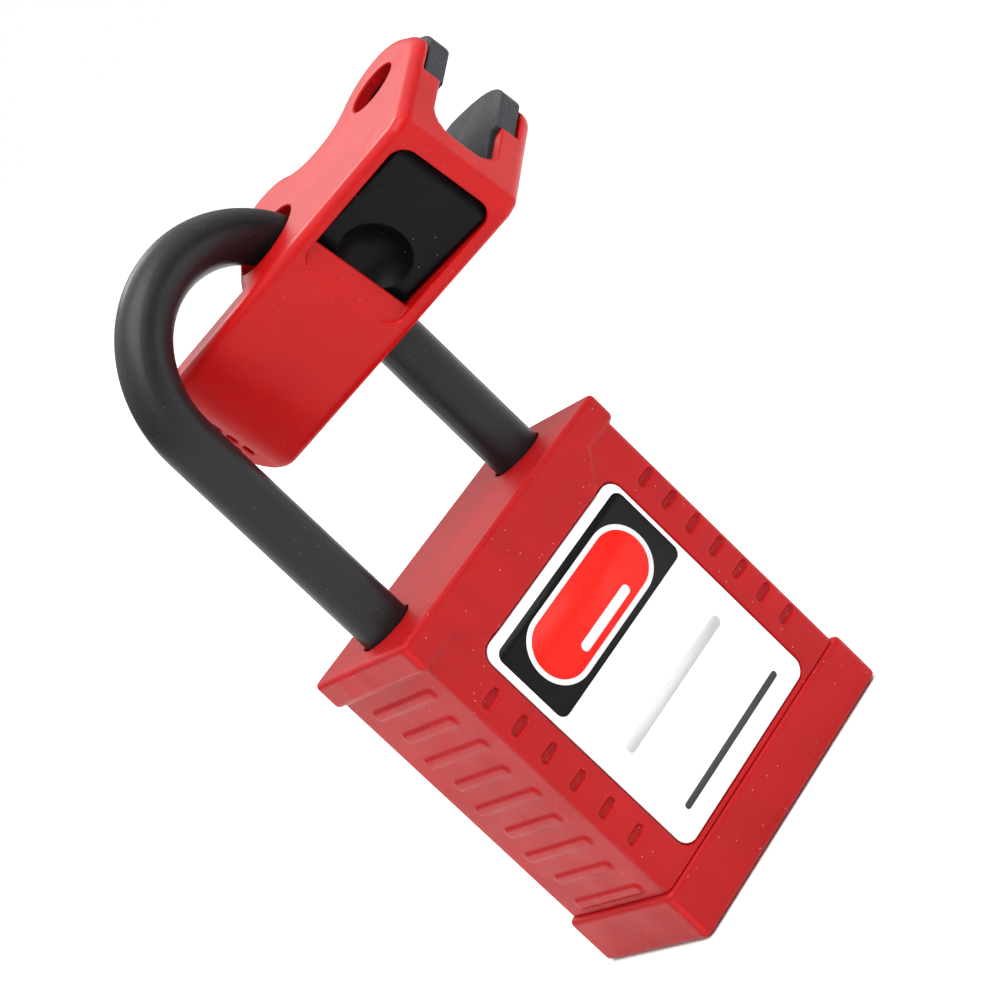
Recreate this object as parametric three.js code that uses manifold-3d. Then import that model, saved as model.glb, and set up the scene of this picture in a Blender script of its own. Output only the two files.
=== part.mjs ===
// A nylon safety padlock, locked, with a miniature-circuit-breaker clamp held captive on its shackle.
//
// Frame, in millimetres: the origin is the middle of the lock body's top face, between the shackle
// legs, where a hasp would bear. +Z runs up along the shackle, +X is to the right when the label is
// seen from the front, and the label faces -Y.
import * as THREE from "three";
import { mergeVertices } from "three/addons/utils/BufferGeometryUtils.js";
import Module from "manifold-3d";

const wasm = await Module();
wasm.setup();

// ---------------------------------------------------------------- driving dimensions
const GAP = 0.3; // between neighbouring pieces

const BODY = { width: 38.4, depth: 20.6, height: 45, fillet: 0.7, corner: 1 };
const LIP = { top: 3.7, bottom: 6.4, sideStep: 0.8, faceStep: 0.3 }; // proud bands at both ends
const SHACKLE = { radius: 3.05, legX: 13.24, legRise: 28.2, toeDepth: 9.5, heelDepth: 29.5 };
const RISE = 10.5; // how far the shackle jumps up when the lock opens
const LATCH = { tipX: 11.7, noseX: 5.7, halfWidth: 2, bottom: -6.5, top: -3.5, noseRadius: 1 };
const LATCH_TRAVEL = 3.15; // each latch moves in this far while the shackle rises by RISE
const NOTCH = { depthX: 12.1, top: -3.1, bottom: -6.9 }; // in the shackle legs, seen at +X
const LABEL = { width: 26.2, height: 30.5, middleZ: -22.55, corner: 2, thickness: 0.3, depth: 0.55 };
const RIB = { count: 9, pitch: 3.8, firstZ: -6.6, width: 1.2, long: 13, short: 11, height: 0.25 };

const CORE = { radius: 5.5, plugRadius: 4, bottom: -44.7, top: -22.3, tower: 8.6, towerHalf: 2.6 };
const PINS = { count: 6, pitch: 3, firstZ: -41, radius: 1.15, shearY: 4.15 };
const PLUG_TOP = -21;
const CAM = { tall: 5.3, bottom: -6.4, top: -3.6, shaftRadius: 2.2 };
const STOP_PIN = { radius: 1, z: -16, halfLength: 6, flatDepth: 1.4 };

// The clamp has its own axes: x across its width, y from its tail to its head, z out of its front
// face, from the middle of the bore that the shackle passes through.
const CLAMP = {
  width: 15.8,
  frontZ: 10.2,
  headY: 22.4,
  tailY: -15.8,
  tailEnd: -19.2,
  headLean: 14, // degrees, of the head face, which leans forward as it goes back
  boreRadius: 4.5,
  fillet: 0.9,
  tailCorner: 5,
};
const CLAMP_SEAT = { arc: 8.25, swing: 50, roll: 4.6, offset: [-0.75, 0.69, -1.85] };
const JAW = {
  inner: 3.6,
  outer: 6.1,
  roomInner: 1.5,
  recess: 1.55,
  flush: 0.3,
  ledgeZ: -1,
  travel: 1.2,
};
const GRIP_TRAVEL = 2.4; // the slider moves this far towards the tail to close the jaws
const WINDOW = { halfWidth: 6.2, tailY: 3.65, headY: 20.5, corner: 2, lipY: 6.3 };

// ---------------------------------------------------------------- materials
const paint = (color, roughness, metalness = 0) =>
  new THREE.MeshStandardMaterial({ color, roughness, metalness });
const RED_BODY = paint(0xb01220, 0.48);
const RED_CLAMP = paint(0xc8171c, 0.4);
const BLACK_NYLON = paint(0x17181a, 0.42);
const DARK_GRIP = paint(0x3a3b3e, 0.75);
const WHITE_LABEL = paint(0xf4f4f2, 0.3);
const BRASS = paint(0xb08d45, 0.3, 1);
const STEEL = paint(0xa9acb0, 0.3, 1);

// ---------------------------------------------------------------- solids from three.js geometry
function solid(geometry) {
  const plain = geometry.index ? geometry.toNonIndexed() : geometry.clone();
  plain.deleteAttribute("normal");
  plain.deleteAttribute("uv");
  const merged = mergeVertices(plain, 1e-4);
  return new wasm.Manifold(
    new wasm.Mesh({
      numProp: 3,
      vertProperties: new Float32Array(merged.attributes.position.array),
      triVerts: new Uint32Array(merged.index.array),
    }),
  );
}

function geometryOf(shape) {
  const mesh = shape.getMesh();
  const geometry = new THREE.BufferGeometry();
  const points = new Float32Array(mesh.numVert * 3);
  for (let i = 0; i < mesh.numVert; i++) {
    points.set(mesh.vertProperties.subarray(i * mesh.numProp, i * mesh.numProp + 3), i * 3);
  }
  geometry.setAttribute("position", new THREE.BufferAttribute(points, 3));
  geometry.setIndex(new THREE.BufferAttribute(new Uint32Array(mesh.triVerts), 1));
  const flat = geometry.toNonIndexed();
  flat.computeVertexNormals();
  return flat;
}

const join = (first, ...rest) => rest.reduce((all, next) => all.add(next), first);
const cut = (first, ...rest) => rest.reduce((all, next) => all.subtract(next), first);

function box(x0, x1, y0, y1, z0, z1) {
  const geometry = new THREE.BoxGeometry(x1 - x0, y1 - y0, z1 - z0);
  return solid(geometry.translate((x0 + x1) / 2, (y0 + y1) / 2, (z0 + z1) / 2));
}

// A rod along Z, Y or X between two stations, centred on the other two coordinates.
function rod(axis, radius, from, to, centre = [0, 0], sides = 24) {
  const geometry = new THREE.CylinderGeometry(radius, radius, to - from, sides);
  geometry.translate(0, (from + to) / 2, 0);
  if (axis === "z") geometry.rotateX(Math.PI / 2).translate(centre[0], centre[1], 0);
  if (axis === "y") geometry.translate(centre[0], 0, centre[1]);
  if (axis === "x") geometry.rotateZ(-Math.PI / 2).translate(0, centre[0], centre[1]);
  return solid(geometry);
}

function roundedRectangle(width, height, corner) {
  const [w, h] = [width / 2, height / 2];
  const shape = new THREE.Shape();
  shape.moveTo(-w + corner, -h);
  shape.lineTo(w - corner, -h);
  shape.absarc(w - corner, -h + corner, corner, -Math.PI / 2, 0);
  shape.lineTo(w, h - corner);
  shape.absarc(w - corner, h - corner, corner, 0, Math.PI / 2);
  shape.lineTo(-w + corner, h);
  shape.absarc(-w + corner, h - corner, corner, Math.PI / 2, Math.PI);
  shape.lineTo(-w, -h + corner);
  shape.absarc(-w + corner, -h + corner, corner, Math.PI, Math.PI * 1.5);
  return shape;
}

function outline(points) {
  const shape = new THREE.Shape();
  shape.moveTo(...points[0]);
  points.slice(1).forEach((point) => shape.lineTo(...point));
  return shape;
}

// A prism of a shape drawn in XY, from z0 to z1, with rounded ends where a bevel is given.
function prism(shape, z0, z1, bevel = 0, curveSegments = 3) {
  const geometry = new THREE.ExtrudeGeometry(shape, {
    depth: z1 - z0 - 2 * bevel,
    curveSegments,
    bevelEnabled: bevel > 0,
    bevelSize: bevel,
    bevelThickness: bevel,
    bevelOffset: -bevel,
    bevelSegments: 2,
  });
  return geometry.translate(0, 0, z0 + bevel);
}

// The same, drawn in XZ and standing between two stations of Y.
function plateXZ(shape, y0, y1, curveSegments = 2) {
  return solid(prism(shape, -y1, -y0, 0, curveSegments).rotateX(Math.PI / 2));
}

// The same, drawn in YZ and standing between two stations of X.
function plateYZ(shape, x0, x1, bevel = 0, curveSegments = 3) {
  const turn = new THREE.Matrix4().makeBasis(
    new THREE.Vector3(0, 1, 0),
    new THREE.Vector3(0, 0, 1),
    new THREE.Vector3(1, 0, 0),
  );
  return solid(prism(shape, x0, x1, bevel, curveSegments).applyMatrix4(turn));
}

// A closed coil of round wire about an axis that runs along Z from z0 to z1.
class Helix extends THREE.Curve {
  constructor(radius, z0, z1, turns) {
    super();
    Object.assign(this, { radius, z0, z1, turns });
  }
  getPoint(t, target = new THREE.Vector3()) {
    const angle = t * this.turns * 2 * Math.PI;
    const z = this.z0 + t * (this.z1 - this.z0);
    return target.set(this.radius * Math.cos(angle), this.radius * Math.sin(angle), z);
  }
}

function coil(radius, wire, z0, z1, turns, stepsPerTurn = 8) {
  const section = new THREE.Shape().absarc(0, 0, wire, 0, 2 * Math.PI);
  return new THREE.ExtrudeGeometry(section, {
    extrudePath: new Helix(radius, z0 + wire, z1 - wire, turns),
    steps: Math.round(turns * stepsPerTurn),
    curveSegments: 3,
    bevelEnabled: false,
  });
}

const part = new THREE.Group();
function place(name, shape, material, parent = part) {
  const mesh = new THREE.Mesh(shape.isBufferGeometry ? shape : geometryOf(shape), material);
  mesh.name = name;
  parent.add(mesh);
  return mesh;
}

const halfWidth = BODY.width / 2;
const halfDepth = BODY.depth / 2;
const coverTop = -BODY.height + LIP.bottom;
const shellBottom = coverTop + GAP;
const coreSection = CORE.radius + GAP; // radius of the pocket that holds the cylinder

// ---------------------------------------------------------------- lock body
// Pocket for the lock cylinder: a round bore, with a slot behind it for the pin tower.
function corePocket(bottom, top) {
  const slotHalf = CORE.towerHalf + GAP;
  return join(
    rod("z", coreSection, bottom, top, [0, 0], 32),
    box(-slotHalf, slotHalf, 0, CORE.tower + GAP, bottom, Math.min(top, CORE.top + GAP)),
  );
}

function sideRibs(side) {
  const ribs = [];
  for (let i = 0; i < RIB.count; i++) {
    const length = i % 2 ? RIB.short : RIB.long;
    const pill = roundedRectangle(length, RIB.width, RIB.width / 2 - 0.01);
    const face = side * (halfWidth - LIP.sideStep);
    const [from, to] = side > 0 ? [face - 0.5, face + RIB.height] : [face - RIB.height, face + 0.5];
    ribs.push(plateYZ(pill, from, to, 0, 1).translate([0, 0, RIB.firstZ - i * RIB.pitch]));
  }
  return ribs;
}

// Rows of short recessed dashes beside the label.
function dashes() {
  const rows = [
    { x: -16.1, first: -10.8, step: -4.24, count: 6 },
    { x: 16.4, first: -10.5, step: -3.67, count: 7 },
  ];
  const dash = roundedRectangle(2.6, 1, 0.49);
  const face = -halfDepth + LIP.faceStep;
  return rows.flatMap(({ x, first, step, count }) =>
    Array.from({ length: count }, (_, i) =>
      plateXZ(dash, face - 1, face + 0.4, 1).translate([x, 0, first + i * step]),
    ),
  );
}

function bodyShell() {
  const width = BODY.width - 2 * LIP.sideStep;
  const depth = BODY.depth - 2 * LIP.faceStep;
  const middle = solid(
    prism(roundedRectangle(width, depth, BODY.corner), shellBottom, -1, BODY.fillet),
  );
  const lip = solid(
    prism(roundedRectangle(BODY.width, BODY.depth, BODY.corner), -LIP.top, 0, BODY.fillet),
  );
  // The lip runs down to the label's upper corners as a tab, on the front and on the back.
  const tab = outline([
    [-13.6, -2],
    [-13.6, -LIP.top],
    [-10.2, -7.2],
    [10.2, -7.2],
    [13.6, -LIP.top],
    [13.6, -2],
  ]);
  const tabs = plateXZ(tab, -halfDepth, halfDepth);
  const blank = join(middle, lip, tabs, ...sideRibs(1), ...sideRibs(-1));

  const legBore = SHACKLE.radius + GAP;
  const toeBore = rod("z", legBore, -SHACKLE.toeDepth - 1, 1, [SHACKLE.legX, 0]);
  const heelBore = rod("z", legBore, shellBottom - 1, 1, [-SHACKLE.legX, 0]);
  const channelHalf = LATCH.halfWidth + GAP;
  const channel = box(-12, 12, -channelHalf, channelHalf, LATCH.bottom - GAP, LATCH.top + GAP);
  const camBore = rod("z", coreSection, shellBottom - 1, CAM.top + 0.6, [0, 0], 32);
  const pinBore = rod("y", STOP_PIN.radius + GAP, -STOP_PIN.halfLength - GAP,
    STOP_PIN.halfLength + GAP, [stopPinX(), STOP_PIN.z], 12);
  const recess = roundedRectangle(LABEL.width + 2 * GAP, LABEL.height + 2 * GAP, LABEL.corner);
  const face = halfDepth - LIP.faceStep;
  const labelRecess = [
    plateXZ(recess, -halfDepth - 1, -face + LABEL.depth).translate([0, 0, LABEL.middleZ]),
    plateXZ(recess, face - LABEL.depth, halfDepth + 1).translate([0, 0, LABEL.middleZ]),
  ];
  const pegHoles = pegs(GAP);
  return cut(
    blank, toeBore, heelBore, channel, camBore, pinBore,
    corePocket(shellBottom - 1, PLUG_TOP + 1), ...labelRecess, ...dashes(), ...pegHoles,
  );
}

// Two pegs that locate the base cover in the shell, drawn larger for their holes.
function pegs(extra) {
  return [-1, 1].map((side) =>
    rod("z", 1.4 + extra, coverTop - 1, coverTop + 3.2 + extra, [SHACKLE.legX, 4.5 * side], 12),
  );
}

function stopPinX() {
  return -SHACKLE.legX + SHACKLE.radius - STOP_PIN.flatDepth + GAP + STOP_PIN.radius;
}

function baseCover() {
  const blank = solid(
    prism(roundedRectangle(BODY.width, BODY.depth, BODY.corner), -BODY.height, coverTop, BODY.fillet),
  );
  const springPeg = rod("z", 1.2, coverTop - 1, coverTop + 1.5, [-SHACKLE.legX, 0], 12);
  const round = rod("z", coreSection, -BODY.height - 1, coverTop + 1, [0, 0], 32);
  const slotHalf = CORE.towerHalf + GAP;
  const slot = box(-slotHalf, slotHalf, 0, CORE.tower + GAP, -43.3, coverTop + 1);
  return cut(join(blank, springPeg, ...pegs(0)), round, slot);
}

// ---------------------------------------------------------------- lock cylinder
const pinZ = (i) => PINS.firstZ + i * PINS.pitch;

function cylinderHousing() {
  const blank = join(
    rod("z", CORE.radius, CORE.bottom, CORE.top, [0, 0], 32),
    box(-CORE.towerHalf, CORE.towerHalf, 0, CORE.tower, -43, CORE.top),
  );
  const bore = rod("z", CORE.plugRadius + GAP, CORE.bottom - 1, CORE.top + 1, [0, 0], 32);
  const stripBed = box(-1.9, 1.9, 7.7, CORE.tower + 1, -42.8, CORE.top + 1);
  const chambers = [];
  for (let i = 0; i < PINS.count; i++) {
    chambers.push(rod("y", PINS.radius + GAP, 2, CORE.tower, [0, pinZ(i)], 12));
  }
  return cut(blank, bore, stripBed, ...chambers);
}

function plug() {
  const body = rod("z", CORE.plugRadius, CORE.bottom, PLUG_TOP, [0, 0], 32);
  const keyway = box(-0.8, 0.8, -3.2, 1.4, CORE.bottom - 1, -24.2);
  const ward = box(-1.3, 0, -1.9, -0.9, CORE.bottom - 1, -24.2);
  const tangSlot = box(-2.5, 2.5, -0.9, 0.9, PLUG_TOP - 2, PLUG_TOP + 1);
  const groove = rod("z", CORE.plugRadius + 1, -22, -21.35).subtract(
    rod("z", 3.4, -23, -21, [0, 0], 24),
  );
  const chambers = [];
  for (let i = 0; i < PINS.count; i++) {
    chambers.push(rod("y", PINS.radius + GAP, 0.6, CORE.plugRadius + 1, [0, pinZ(i)], 12));
  }
  return cut(body, keyway, ward, tangSlot, groove, ...chambers);
}

function retainingClip() {
  const ring = rod("z", 5, -21.9, -21.45).subtract(rod("z", 3.7, -23, -20));
  return ring.subtract(box(-1.6, 1.6, 0, 6, -23, -20));
}

// The cam blocks both latches when locked. Its radius falls evenly over a quarter turn, so the
// latches follow it in.
function cam() {
  const steps = 12;
  const rim = [];
  for (const half of [0, Math.PI]) {
    for (let i = 0; i < 2 * steps; i++) {
      const angle = ((i - steps) / steps) * (Math.PI / 2);
      const radius = CAM.tall - LATCH_TRAVEL * (Math.abs(angle) / (Math.PI / 2));
      rim.push([radius * Math.cos(angle + half), radius * Math.sin(angle + half)]);
    }
  }
  return join(
    solid(prism(outline(rim), CAM.bottom, CAM.top)),
    rod("z", CAM.shaftRadius, PLUG_TOP + GAP, CAM.bottom + 0.5, [0, 0], 20),
    box(-2.1, 2.1, -0.6, 0.6, PLUG_TOP - 1.7, PLUG_TOP + GAP + 0.2),
  );
}

function latch(side) {
  const { tipX, noseX, halfWidth: half, noseRadius } = LATCH;
  const shape = new THREE.Shape();
  shape.moveTo(tipX, -half);
  shape.lineTo(tipX, half);
  shape.lineTo(noseX + 2.4, half);
  shape.absarc(noseX + noseRadius, 0, noseRadius, Math.PI * 0.7, Math.PI * 1.3);
  shape.lineTo(noseX + 2.4, -half);
  const bar = solid(prism(shape, LATCH.bottom, LATCH.top, 0, 6));
  return side > 0 ? bar : bar.rotate([0, 0, 180]);
}

// Key pins of six lengths stand in the plug, drivers and springs behind the shear line.
function pinStack(i) {
  const keyPinLength = [2.4, 2.8, 2, 2.9, 2.6, 2.2][i];
  const driverTop = PINS.shearY + 1.9;
  const keyPin = rod("y", PINS.radius, 3.75 - keyPinLength, 3.75, [0, pinZ(i)], 10);
  const driver = rod("y", PINS.radius, PINS.shearY, driverTop, [0, pinZ(i)], 10);
  const spring = coil(0.75, 0.14, driverTop + 0.1, 7.9, 2.5, 6)
    .rotateX(-Math.PI / 2)
    .translate(0, 0, pinZ(i));
  return { keyPin, driver, spring };
}

// ---------------------------------------------------------------- shackle
// The heel leg is the path's first step, the toe leg its last, and the steps between share the arc.
class Bow extends THREE.Curve {
  constructor(heelZ, toeZ, arcSteps) {
    super();
    Object.assign(this, { heelZ, toeZ, steps: arcSteps + 2 });
  }
  getUtoTmapping(u) {
    return u;
  }
  getPoint(t, target = new THREE.Vector3()) {
    const { legX, legRise } = SHACKLE;
    const s = t * this.steps;
    if (s < 1) return target.set(-legX, 0, this.heelZ + s * (legRise - this.heelZ));
    if (s > this.steps - 1) {
      return target.set(legX, 0, this.toeZ + (this.steps - s) * (legRise - this.toeZ));
    }
    const angle = Math.PI * (1 - (s - 1) / (this.steps - 2));
    return target.set(legX * Math.cos(angle), 0, legRise + legX * Math.sin(angle));
  }
}

function shackle() {
  const section = new THREE.Shape().absarc(0, 0, SHACKLE.radius, 0, 2 * Math.PI);
  const path = new Bow(-SHACKLE.heelDepth, -SHACKLE.toeDepth, 20);
  const bow = solid(
    new THREE.ExtrudeGeometry(section, {
      extrudePath: path,
      steps: path.steps,
      curveSegments: 8,
      bevelEnabled: false,
    }),
  );
  // Below each latch notch the leg is relieved at the slope that the latch draws back along.
  const slope = LATCH_TRAVEL / RISE;
  const legFace = SHACKLE.legX - SHACKLE.radius;
  const rampEnd = NOTCH.bottom - (NOTCH.depthX - legFace + 0.3) / slope;
  const notch = outline([
    [legFace - 1, NOTCH.top],
    [NOTCH.depthX, NOTCH.top],
    [NOTCH.depthX, NOTCH.bottom],
    [legFace - 0.3, rampEnd],
    [legFace - 1, rampEnd],
  ]);
  const toeNotch = plateXZ(notch, -4, 4);
  const heelNotch = toeNotch.rotate([0, 0, 180]);
  const flatX = stopPinX() - STOP_PIN.radius - GAP;
  const flatTop = STOP_PIN.z + STOP_PIN.radius + GAP;
  const flatBottom = STOP_PIN.z - STOP_PIN.radius - GAP - RISE;
  const stopFlat = box(flatX, flatX + 5, -4, 4, flatBottom, flatTop);
  return cut(bow, toeNotch, heelNotch, stopFlat);
}

// ---------------------------------------------------------------- breaker clamp
const lean = Math.tan(THREE.MathUtils.degToRad(CLAMP.headLean));
const headPlane = (z) => CLAMP.headY + (CLAMP.frontZ - z) * lean; // y of the head face at height z

// Side view of the housing: a flat front, a leaning head, a hollow waist, a deep block round the
// shackle bore, and a thin tail.
function housingOutline() {
  const { frontZ, headY, tailY, tailEnd } = CLAMP;
  const shape = new THREE.Shape();
  shape.moveTo(headY, frontZ);
  shape.lineTo(tailY + 0.9, frontZ);
  shape.quadraticCurveTo(tailY, frontZ, tailY - 0.9, frontZ - 0.8);
  shape.absarc(tailEnd + 1.2, frontZ - 3.2, 1.2, Math.PI * 0.7, Math.PI * 1.5);
  shape.lineTo(-4.4, frontZ - 4.5);
  shape.quadraticCurveTo(-5, 3, -5.1, -7);
  shape.quadraticCurveTo(-5, -13.4, -1, -13.5);
  shape.quadraticCurveTo(2.4, -13.4, 4.4, -10.6);
  shape.quadraticCurveTo(6.6, -8.2, 9.6, -8.3);
  shape.quadraticCurveTo(12, -8.4, 13.4, -11);
  shape.quadraticCurveTo(16, -14.9, 20.2, -14.3);
  shape.quadraticCurveTo(23, -13.4, 24.6, -10);
  shape.lineTo(headPlane(-5.4), -5.4);
  return shape;
}

// The jaw plate, seen from the side: straight along the head, round at the back.
function jawOutline(grow = 0) {
  const inside = (z) => headPlane(z) - JAW.recess + grow; // behind the head's wall
  const bare = (z) => headPlane(z) - JAW.flush; // below the ledge, almost flush with the head
  const step = JAW.ledgeZ - GAP;
  const shape = new THREE.Shape();
  shape.moveTo(12.7 - grow, 4.6 + grow);
  shape.lineTo(inside(4.6 + grow), 4.6 + grow);
  shape.lineTo(inside(step), step);
  shape.lineTo(bare(step), step);
  shape.lineTo(bare(-7.3), -7.3);
  shape.quadraticCurveTo(bare(-7.3) - 0.3, -13.2 - grow, 18.4, -14.8 - grow);
  shape.lineTo(16.4, -14.4 - grow);
  shape.quadraticCurveTo(14 - grow, -13 - grow, 12.7 - grow, -9 - grow);
  return shape;
}

// A U-shaped way through the head for the breaker's toggle, open to the head and to the back.
function toggleWay() {
  const half = JAW.inner + 0.45;
  const floor = CLAMP.frontZ - 3.6;
  const round = 3;
  const shape = new THREE.Shape();
  shape.moveTo(-half, -30);
  shape.lineTo(half, -30);
  shape.lineTo(half, floor - round);
  shape.absarc(half - round, floor - round, round, 0, Math.PI / 2);
  shape.absarc(-half + round, floor - round, round, Math.PI / 2, Math.PI);
  const way = plateXZ(shape, 14.6, 40, 5);
  // Its floor drops away from the head face towards the tail.
  const wedge = outline([
    [13, 9],
    [CLAMP.headY + 1, 9],
    [CLAMP.headY + 1, floor + 0.5],
    [14, 3.2],
    [13, 3.2],
  ]);
  return cut(way, plateYZ(wedge, -half - 1, half + 1));
}

// Room for the jaw plate and for the slider's leg, on one side of the head.
function jawRoom(side) {
  const outer = JAW.outer + GAP;
  const span = (a, b) => (side > 0 ? [a, b] : [-b, -a]);
  const plate = plateYZ(jawOutline(GAP), ...span(JAW.roomInner, outer));
  const foot = box(...span(1, outer), 7.2, 13.8, -6.3, 4.3);
  // Past the ledge the room is open to the head face.
  const open = box(...span(JAW.inner, outer), 14, 40, -30, JAW.ledgeZ);
  return join(plate, foot, open);
}

function clampHousing() {
  const half = CLAMP.width / 2;
  const { tailEnd } = CLAMP;
  const plan = new THREE.Shape();
  plan.moveTo(-half - 1, 40);
  plan.lineTo(-half - 1, tailEnd + CLAMP.tailCorner + 1);
  plan.lineTo(-half, tailEnd + CLAMP.tailCorner);
  plan.absarc(-half + CLAMP.tailCorner, tailEnd + CLAMP.tailCorner, CLAMP.tailCorner,
    Math.PI, Math.PI * 1.5);
  plan.absarc(half - CLAMP.tailCorner, tailEnd + CLAMP.tailCorner, CLAMP.tailCorner,
    Math.PI * 1.5, Math.PI * 2);
  plan.lineTo(half + 1, tailEnd + CLAMP.tailCorner + 1);
  plan.lineTo(half + 1, 40);
  const blank = plateYZ(housingOutline(), -half, half, CLAMP.fillet).intersect(
    solid(prism(plan, -20, 20, 0, 6)),
  );
  const shackleBore = rod("x", CLAMP.boreRadius, -20, 20, [0, 0], 32);
  const sideWindow = rod("x", 3.2, -20, 20, [18.55, -6.7], 20);

  // The slider's window: open at the front, with a ramp and an undercut lip at its tail end.
  const windowLength = WINDOW.headY - WINDOW.tailY;
  const frame = roundedRectangle(2 * WINDOW.halfWidth, windowLength, WINDOW.corner);
  const middleY = (WINDOW.headY + WINDOW.tailY) / 2;
  const opening = solid(prism(frame, 7.55, CLAMP.frontZ + 1).translate(0, middleY, 0));
  const lip = plateYZ(
    outline([
      [WINDOW.tailY - 1, CLAMP.frontZ],
      [WINDOW.tailY - 0.2, CLAMP.frontZ],
      [WINDOW.lipY, 8.95],
      [WINDOW.lipY, 8.55],
      [WINDOW.tailY - 1, 8.55],
    ]),
    -WINDOW.halfWidth - 1,
    WINDOW.halfWidth + 1,
  );
  const pocket = box(-WINDOW.halfWidth, WINDOW.halfWidth, 1.8, 12.4, 5.2, 8.55);
  const sliderRoom = join(cut(opening, lip), pocket);
  const legRooms = [-1, 1].map((side) => {
    const [a, b] = side > 0 ? [3.8, JAW.outer + GAP] : [-JAW.outer - GAP, -3.8];
    return box(a, b, 7.2, 12.9, -4, 6);
  });
  return cut(
    blank, shackleBore, sideWindow, toggleWay(), jawRoom(1), jawRoom(-1), sliderRoom, ...legRooms,
  );
}

// Slope of the slider's wedge legs, which turn its travel into the jaws' travel.
const WEDGE = JAW.travel / GRIP_TRAVEL;

function clampSlider() {
  const side = outline([
    [4.6, 5.5],
    [12.1, 5.5],
    [12.1, 7.85],
    [20.15, 7.85],
    [20.15, 9],
    [19.1, 9.8],
    [6.1, 7.65],
    [4.6, 7.5],
  ]);
  const half = WINDOW.halfWidth - GAP;
  const block = plateYZ(side, -half, half).intersect(
    solid(prism(roundedRectangle(2 * half, 32, 1.8), 0, 20).translate(0, 4.3, 0)),
  );
  const dish = solid(new THREE.SphereGeometry(5, 24, 16).translate(0.2, 7.9, 11));
  const leg = outline([
    [6.1, 10],
    [6.1, 12.4],
    [4.3, 12.4],
    [4.3 + 2.4 * WEDGE, 10],
  ]);
  const legRight = solid(prism(leg, -3, 5.8));
  return cut(join(block, legRight, legRight.mirror([1, 0, 0])), dish);
}

function clampJaw(side) {
  const plate = plateYZ(jawOutline(), JAW.inner, JAW.outer);
  const clear = GAP * Math.hypot(1, WEDGE);
  const foot = outline([
    [2.6, 13.4],
    [2.6, 9.9],
    [4.3 + 2.5 * WEDGE - clear, 9.9],
    [4.3 - 0.3 * WEDGE - clear, 12.7],
    [5, 12.7],
    [5, 13.4],
  ]);
  const jaw = join(plate, solid(prism(foot, -5.9, 4)));
  return side > 0 ? jaw : jaw.mirror([1, 0, 0]);
}

// ---------------------------------------------------------------- assembly
place("body_shell", bodyShell(), RED_BODY);
place("base_cover", baseCover(), RED_BODY);
place("shackle", shackle(), BLACK_NYLON);
const springLength = [coverTop + 0.1, -SHACKLE.heelDepth - GAP];
const heelSpring = place("shackle_spring", coil(2.2, 0.4, ...springLength, 6), STEEL);
heelSpring.position.x = -SHACKLE.legX;
const stopPin = rod(
  "y", STOP_PIN.radius, -STOP_PIN.halfLength, STOP_PIN.halfLength, [stopPinX(), STOP_PIN.z], 12,
);
place("shackle_stop_pin", stopPin, STEEL);
place("latch_right", latch(1), STEEL);
place("latch_left", latch(-1), STEEL);
place("cam", cam(), STEEL);
place("cylinder_housing", cylinderHousing(), BRASS);
place("plug", plug(), BRASS);
place("plug_clip", retainingClip(), STEEL);
place("pin_chamber_strip", box(-1.6, 1.6, 8, 8.5, -42.4, -22.6), BRASS);
for (let i = 0; i < PINS.count; i++) {
  const { keyPin, driver, spring } = pinStack(i);
  place(`key_pin_${i + 1}`, keyPin, BRASS);
  place(`driver_pin_${i + 1}`, driver, BRASS);
  place(`pin_spring_${i + 1}`, spring, STEEL);
}
const labelFace = halfDepth - LIP.faceStep - 0.1;
const labelShape = roundedRectangle(LABEL.width, LABEL.height, LABEL.corner - GAP);
for (const [name, near] of [["front_label", -labelFace], ["back_label", labelFace]]) {
  const [y0, y1] = near < 0 ? [near, near + LABEL.thickness] : [near - LABEL.thickness, near];
  place(name, plateXZ(labelShape, y0, y1).translate([0, 0, LABEL.middleZ]), WHITE_LABEL);
}

// The clamp hangs where the right leg turns into the bow. Its bore follows the bow's tangent there.
const clamp = new THREE.Group();
const arc = THREE.MathUtils.degToRad(CLAMP_SEAT.arc);
const swing = THREE.MathUtils.degToRad(CLAMP_SEAT.swing);
const across = new THREE.Vector3(Math.sin(arc), 0, -Math.cos(arc));
const outward = new THREE.Vector3(Math.cos(arc), 0, Math.sin(arc));
const headward = outward
  .multiplyScalar(Math.cos(swing))
  .add(new THREE.Vector3(0, -Math.sin(swing), 0));
across.applyAxisAngle(headward, THREE.MathUtils.degToRad(CLAMP_SEAT.roll));
const front = new THREE.Vector3().crossVectors(across, headward);
clamp.quaternion.setFromRotationMatrix(new THREE.Matrix4().makeBasis(across, headward, front));
const [offX, offY, offZ] = CLAMP_SEAT.offset;
clamp.position.set(
  SHACKLE.legX * Math.cos(arc) + offX,
  offY,
  SHACKLE.legRise + SHACKLE.legX * Math.sin(arc) + offZ,
);
part.add(clamp);
place("clamp_housing", clampHousing(), RED_CLAMP, clamp);
place("clamp_slider", clampSlider(), BLACK_NYLON, clamp);
place("clamp_jaw_right", clampJaw(1), DARK_GRIP, clamp);
place("clamp_jaw_left", clampJaw(-1), DARK_GRIP, clamp);

export default part;
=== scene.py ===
import math

import bmesh
import bpy
from mathutils import Matrix, Vector


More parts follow.
